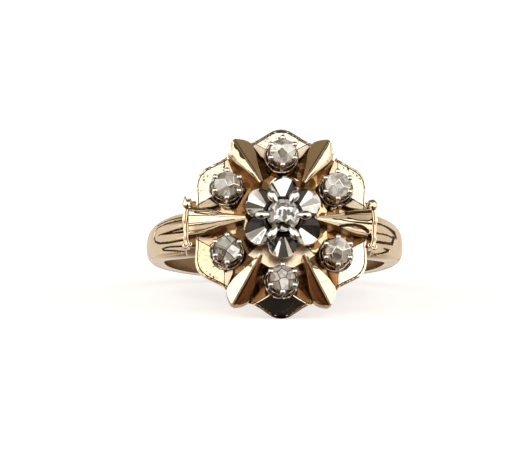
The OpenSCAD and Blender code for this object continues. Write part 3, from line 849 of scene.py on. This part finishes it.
# Painted shade: the inside of the cup and the faces of its arches take the dark gold of the wells.
for face in cup.data.polygons:
    far = math.hypot(face.center.x, face.center.y)
    outward = face.normal.x * face.center.x + face.normal.y * face.center.y > 0.7 * far
    face.material_index = outer if outward and far > 0.9 else pierced
claw = open_new(bpy.ops.mesh.primitive_cylinder_add, vertices=20, radius=0.13, depth=2.0, location=(0, 0, 0))
shape(lambda p: Vector((p.x + 1.02, p.y, p.z + 1.2)))
close(claw, smooth=40)
tip = open_new(
    bpy.ops.mesh.primitive_uv_sphere_add, radius=0.21, segments=22, ring_count=14, location=(0, 0, 0))
shape(lambda p: Vector((p.x * 1.1 + 0.99, p.y, p.z * 0.9 + 2.25)))
claw = join([claw, close(tip, smooth=60)])
claws = copy_turned(finish_in(claw, white_gold), [about_z(60 * k) for k in range(6)])
for wide, thick, height, wave in ((1.20, 0.085, 0.16, 0.10), (1.05, 0.05, 0.98, -0.10)):
    scallop = open_new(
        bpy.ops.mesh.primitive_torus_add, location=(0, 0, 0), major_radius=wide, minor_radius=thick,
        major_segments=72, minor_segments=10,
    )
    shape(lambda p: p + Vector((0, 0, height + wave * math.cos(6 * math.atan2(p.y, p.x)))))
    claws.append(finish_in(close(scallop, smooth=60), scallop_sheen_shade))
cup = join([cup, join(claws)])
seats = {number: Matrix.Translation((x, y, cup_z)) for number, (angle, x, y) in cup_seats.items()}
cups = copy_turned(cup, [seats[number] @ about_z(angle) for number, (angle, x, y) in cup_seats.items()])
for number, one in enumerate(cups, 1):
    if number in (3, 4, 5):
        one.data.materials[outer] = white_gold
    set_in_ring(one, f"claw_cup_{number}", "collet_gold", f"collet_{number}")


# ---- White centre flower
# A six-lobed illusion setting of white gold: each lobe is a fan of bright-cut flutes inside a thin rim, and six
# beads, drawn out towards the stone, stand round the bezel that holds the brilliant. The flutes are painted as
# reflections, in dark, grey and bright white tones, and the bezel is painted near-black.
lobe_reach, lobe_r, lobe_deep = 3.0, 1.08, 0.5
rim_from = 0.97
hub = Vector((-0.72, 0, 0))
mirror, dark, grey, white_glint = range(4)
# By each lobe's direction: the directions of its flutes' edges from the hub, and the finishes of its flutes,
# painted reflections and highlights.
fans = {
    90: ((-125, -70, -40, -24, 28, 34, 44, 125), (dark, grey, dark, mirror, dark, white_glint, dark)),
    150: ((-125, -75, -32, -12, 8, 30, 75, 125), (dark, dark, white_glint, mirror, mirror, grey, dark)),
    210: ((-125, -60, -35, -8, 12, 34, 50, 125), (dark, dark, dark, white_glint, mirror, grey, dark)),
    270: ((-125, -62, -24, -12, 14, 27, 62, 125), (dark, grey, mirror, dark, white_glint, dark, dark)),
    330: ((-125, -75, -55, -37, -4, 30, 75, 125), (dark, dark, grey, white_glint, dark, dark, dark)),
    30: ((-125, -75, -40, -15, 8, 30, 75, 125), (dark, dark, mirror, white_glint, white_glint, dark, dark)),
}
slopes = [-0.02 if k % 2 else -0.16 for k in range(8)]


def pick(kind, wanted):
    """Selects, in the open piece, each vertex or edge whose middle is wanted."""
    bpy.ops.mesh.select_all(action="DESELECT")
    bpy.ops.mesh.select_mode(type=kind)
    mesh = bmesh.from_edit_mesh(bpy.context.edit_object.data)
    for item in mesh.verts if kind == "VERT" else mesh.edges:
        place = item.co if kind == "VERT" else (item.verts[0].co + item.verts[1].co) / 2
        item.select_set(wanted(place))
    mesh.select_flush_mode()
    bmesh.update_edit_mesh(bpy.context.edit_object.data)


def wedge_at(place, edges):
    """The wedge of a fan that a place lies in, counted from 0, and its direction from the hub in degrees."""
    away = place - hub
    turned = math.degrees(math.atan2(away.y, away.x))
    return sum(turned > edge for edge in edges) - 1, turned


def pleated(p, edges):
    if p.length > rim_from:
        return p + Vector((0, 0, 0.02))
    if (p - hub).length < 0.01:
        return p + Vector((0, 0, -0.05))
    wedge, turned = wedge_at(p, edges)
    wedge = min(len(edges) - 2, max(0, wedge))
    a, b, here = (math.radians(angle) for angle in (edges[wedge], edges[wedge + 1], turned))
    slope = (slopes[wedge] * math.sin(b - here) + slopes[wedge + 1] * math.sin(here - a)) / math.sin(b - a)
    return p + Vector((0, 0, -0.05 + slope * (p - hub).length))


pieces = []
for lobe_angle, (edges, tones) in fans.items():
    lobe = open_new(bpy.ops.mesh.primitive_circle_add, vertices=72, radius=1, location=(0, 0, 0), fill_type="NGON")
    bpy.ops.mesh.select_mode(type="FACE")
    bpy.ops.mesh.inset(thickness=0.055)
    bpy.ops.mesh.poke()
    pick("VERT", lambda place: place.length < 0.2)
    bpy.ops.transform.translate(value=tuple(hub))
    mesh = bmesh.from_edit_mesh(lobe.data)
    for face in mesh.faces:
        wedge = wedge_at(face.calc_center_median(), edges)[0]
        in_fan = len(face.verts) == 3 and 0 <= wedge < len(tones)
        face.material_index = tones[wedge] if in_fan else mirror
    bmesh.update_edit_mesh(lobe.data)
    shape(lambda p: pleated(p, edges))
    mesh = bmesh.from_edit_mesh(lobe.data)
    bpy.ops.mesh.select_mode(type="EDGE")
    for edge in mesh.edges:
        edge.select_set(edge.is_boundary)
    bmesh.update_edit_mesh(lobe.data)
    bpy.ops.mesh.extrude_edges_move(TRANSFORM_OT_translate={"value": (0, 0, -lobe_deep)})
    bpy.ops.mesh.edge_face_add()
    shape(lambda p: Vector((p.x * lobe_r + lobe_reach - lobe_r, p.y * lobe_r, p.z)))
    shape(lambda p: Vector((p.x, p.y, p.z + 14.50 - 0.09 * (p.x - 1.3))))
    close(lobe, smooth=8)
    lobe.data.transform(about_z(lobe_angle))
    pieces.append(lobe)
bezel = turn([(1.75, 13.34), (1.5, 14.5), (1.34, 14.66), (1.2, 14.6), (0.2, 13.9)], 60)
close(bezel, bevel=0.02, smooth=30)
# Painted reflection: the whole bezel takes the near-black finish.
for face in bezel.data.polygons:
    face.material_index = dark
pieces.append(bezel)


def grain_form(p):
    """A bead drawn out to a point towards the stone."""
    long, slim = (1.25, 1) if p.x > 0 else (2.0, 1 - 1.5 * p.x ** 2)
    return Vector((p.x * long + 1.62, p.y * slim, p.z * 0.8 + 15.16))


grain = open_new(
    bpy.ops.mesh.primitive_uv_sphere_add, radius=0.34, segments=28, ring_count=18, location=(0, 0, 0))
shape(grain_form)
close(grain, smooth=60)
stem = open_new(bpy.ops.mesh.primitive_cylinder_add, vertices=24, radius=0.24, depth=0.9, location=(0, 0, 0))
shape(lambda p: p + Vector((1.62, 0, 14.7)))
pieces += copy_turned(join([grain, close(stem, smooth=40)]), [about_z(60 * k) for k in range(6)])
# Painted reflections and highlight: near-black, grey and near-white copies of the white gold for the flutes.
dark_flute_reflection = gold("dark_flute_reflection", (0.055, 0.05, 0.045), 0.22, 0.2, (0.03, 0.03, 0.03))
grey_flute_reflection = gold("grey_flute_reflection", (0.40, 0.39, 0.38), 0.10, 0.2, (0.15, 0.14, 0.13))
painted_glint_white = gold("painted_glint_white", (1.0, 0.99, 0.97), 0.42, 0.3, (0.6, 0.6, 0.6))
flower = join([finish_in(one, white_gold, dark_flute_reflection, grey_flute_reflection, painted_glint_white) for one in pieces])
set_in_ring(flower, "white_flower", "white_gold", "centre_flower")


# ---- Stones
# A round brilliant in the middle, cut with table, stars, kites and girdle facets, and six old rose cuts, each with
# six to eight large facets of its own. All are diamond, clear and refracting, mixed mostly with a sheen whose
# colour
# is painted reflection: broken glints on the brilliant, greyer and browner tones on the rose cuts' facets, and
# their edges painted light on some stones and dark on others.
def diamond(name, dark_tone, light_tone, sheen_share, shards, body=0.3):
    """Diamond: clear and strongly refracting, mixed with a sheen whose colour is painted reflection: broken glints
    in cells as small as its facets mirror each other, dark and light, some brown.
    """
    made = Finish(bpy.data.materials.new(name))
    place = made.node("TexCoord", {}, {}, "Object")
    cells = made.node("TexVoronoi", {"distance": "MANHATTAN"}, {"Vector": place, "Scale": shards}, "Color")
    glint = made.node("SeparateColor", {}, [cells], "Red")
    warm = made.node("SeparateColor", {}, [cells], "Green")
    clear = made.node("BsdfPrincipled", {}, {
        "Base Color": (1, 1, 1, 1), "Roughness": 0.0, "IOR": 2.42, "Transmission Weight": 1.0})
    shade = made.mix(made.step(glint, 0.30, 0.62), dark_tone, light_tone)
    shade = made.mix(0.45 * made.step(warm, 0.78, 0.82), shade, (0.42, 0.30, 0.20))
    sheen = made.node("BsdfPrincipled", {}, {
        "Base Color": shade, "Metallic": body, "Roughness": 0.06, "IOR": 2.3})
    made.node("OutputMaterial", {}, {"Surface": made.node("MixShader", {}, [sheen_share, clear, sheen])})
    return made.owner


def cut_flat(place, toward):
    """Cuts the open stone flat at a place and takes off what lies beyond."""
    bpy.ops.mesh.select_all(action="SELECT")
    bpy.ops.mesh.bisect(plane_co=place, plane_no=toward, use_fill=True, clear_outer=True)


shining, broken, deep = range(3)
# Painted reflections: bright, broken and dark glints, one to a facet.
brilliant_finishes = [
    diamond("diamond_bright", (0.30, 0.29, 0.28), (1.0, 1.0, 1.0), 0.85, 3600.0),
    diamond("diamond_broken", (0.01, 0.009, 0.008), (1.0, 1.0, 1.0), 0.90, 3300.0),
    diamond("diamond_dark", (0.01, 0.009, 0.008), (0.20, 0.17, 0.14), 0.90, 3600.0),
]
facet_tones = (shining, deep, broken, shining, broken, deep, shining)
brilliant_cuts = [(45 * k, 36.5, 0.702) for k in range(8)] + [(22.5 + 45 * k, 22, 0.575) for k in range(8)]
brilliant_cuts += [(11.25 + 22.5 * k, 43, 0.814) for k in range(16)]
brilliant = open_new(
    bpy.ops.mesh.primitive_cylinder_add, vertices=32, radius=1.18, depth=0.5, location=(0, 0, 0))
shape(lambda p: p + Vector((0, 0, 0.15)))
facings = []
for around, tilt, far in brilliant_cuts:
    around, tilt = math.radians(around), math.radians(tilt)
    facings.append(Vector((math.sin(tilt) * math.cos(around), math.sin(tilt) * math.sin(around), math.cos(tilt))))
    cut_flat(facings[-1] * far, facings[-1])
close(brilliant, smooth=4)
for face in brilliant.data.polygons:
    nearest = max(range(len(facings)), key=lambda k: facings[k].dot(face.normal))
    tone = facet_tones[(nearest * 3 + nearest // 8) % len(facet_tones)]
    face.material_index = broken if face.normal.z > 0.99 else tone
brilliant.data.transform(Matrix.Translation((0, 0, 15.05)) @ about_z(11))
set_in_ring(finish_in(brilliant, *brilliant_finishes), "brilliant_cut", "diamond", "centre_stone")

light, pale_grey, dark_reflection, brown_reflection, ridge = range(5)
# Painted reflections: light, pale grey, dark and brown tones for the rose cuts' facets.
rose_finishes = [
    diamond("rose_light", (0.62, 0.61, 0.58), (0.98, 0.97, 0.94), 0.86, 2600.0, 0.12),
    diamond("rose_pale", (0.40, 0.385, 0.35), (0.74, 0.725, 0.68), 0.86, 2200.0, 0.12),
    diamond("rose_dark_reflection", (0.13, 0.115, 0.09), (0.38, 0.345, 0.29), 0.88, 2600.0, 0.12),
    diamond("rose_brown_reflection", (0.10, 0.06, 0.03), (0.48, 0.34, 0.19), 0.90, 2600.0, 0.12),
]
edge_highlight = gold("edge_highlight", (0.96, 0.95, 0.93), 0.40, 0.1, (0.5, 0.48, 0.45))
edge_shade = gold("edge_shade", (0.06, 0.05, 0.04), 0.35, 0.1, (0.03, 0.025, 0.02))
# By stone: the finish of its edges (painted highlight on some stones, painted shade on others), and each facet's
# place, in shares of the stone's radius, with its tone, a painted reflection.
rose_cuts = {
    1: (edge_highlight, [
        (-0.53, 0.34, light), (0.40, 0.25, light), (-0.06, -0.21, dark_reflection), (-0.34, 0.76, dark_reflection),
        (0.35, 0.82, pale_grey), (-0.66, -0.50, pale_grey), (0.30, -0.72, pale_grey), (0.80, -0.35, pale_grey)]),
    2: (edge_highlight, [
        (-0.43, 0.30, light), (-0.39, -0.40, pale_grey), (0.50, 0.16, dark_reflection), (0.45, -0.62, pale_grey),
        (0.03, 0.85, light), (-0.95, 0.05, pale_grey), (0.05, -0.15, light)]),
    3: (edge_highlight, [
        (-0.76, 0.06, brown_reflection), (-0.08, -0.35, dark_reflection), (0.68, -0.40, dark_reflection), (0.35, 0.42, light),
        (-0.53, 0.66, pale_grey), (-0.25, -0.92, dark_reflection), (-0.80, -0.60, brown_reflection)]),
    4: (edge_shade, [
        (-0.67, 0.06, brown_reflection), (-0.04, 0.34, light), (0.12, -0.45, light), (0.64, 0.16, dark_reflection),
        (0.80, -0.45, dark_reflection), (0.25, 0.84, pale_grey), (-0.60, -0.66, dark_reflection), (-0.50, 0.80, pale_grey)]),
    5: (edge_shade, [
        (-0.25, 0.36, pale_grey), (0.50, -0.30, light), (-0.60, -0.58, dark_reflection), (0.90, 0.50, dark_reflection),
        (0.05, -0.85, pale_grey), (0.40, 0.90, pale_grey)]),
    6: (edge_highlight, [
        (-0.48, 0.62, dark_reflection), (-0.48, -0.05, pale_grey), (0.22, 0.30, pale_grey), (0.80, 0.34, brown_reflection),
        (0.60, -0.50, dark_reflection), (-0.16, -0.70, pale_grey), (0.30, 0.90, light)]),
}
rose_r, rose_top, dome_h = 0.93, 0.33, 0.42
for number, (edge_finish, facets) in rose_cuts.items():
    stone = open_new(
        bpy.ops.mesh.primitive_cylinder_add, vertices=20, radius=rose_r, depth=1.0, location=(0, 0, 0))
    finish_in(stone, *rose_finishes, edge_finish)
    shape(lambda p: p + Vector((0, 0, 0.17)))
    for x, y, tone in facets:
        touching = (rose_r * x, rose_r * y, rose_top - dome_h * (x * x + y * y))
        cut_flat(touching, Vector((2 * dome_h * x / rose_r, 2 * dome_h * y / rose_r, 1)))
    pick("EDGE", lambda place: place.z > -0.12)
    bpy.ops.mesh.bevel(offset=0.03, segments=1, affect="EDGES", material=ridge)
    close(stone, smooth=4)
    for face in stone.data.polygons:
        if face.material_index != ridge:
            x, y = face.center.x / rose_r, face.center.y / rose_r
            face.material_index = min(facets, key=lambda facet: math.hypot(x - facet[0], y - facet[1]))[2]
    stone.data.transform(seats[number] @ Matrix.Translation((0, 0, cup_h + 0.36)))
    set_in_ring(stone, f"rose_cut_{number}", "rose_diamond", f"rose_{number}")
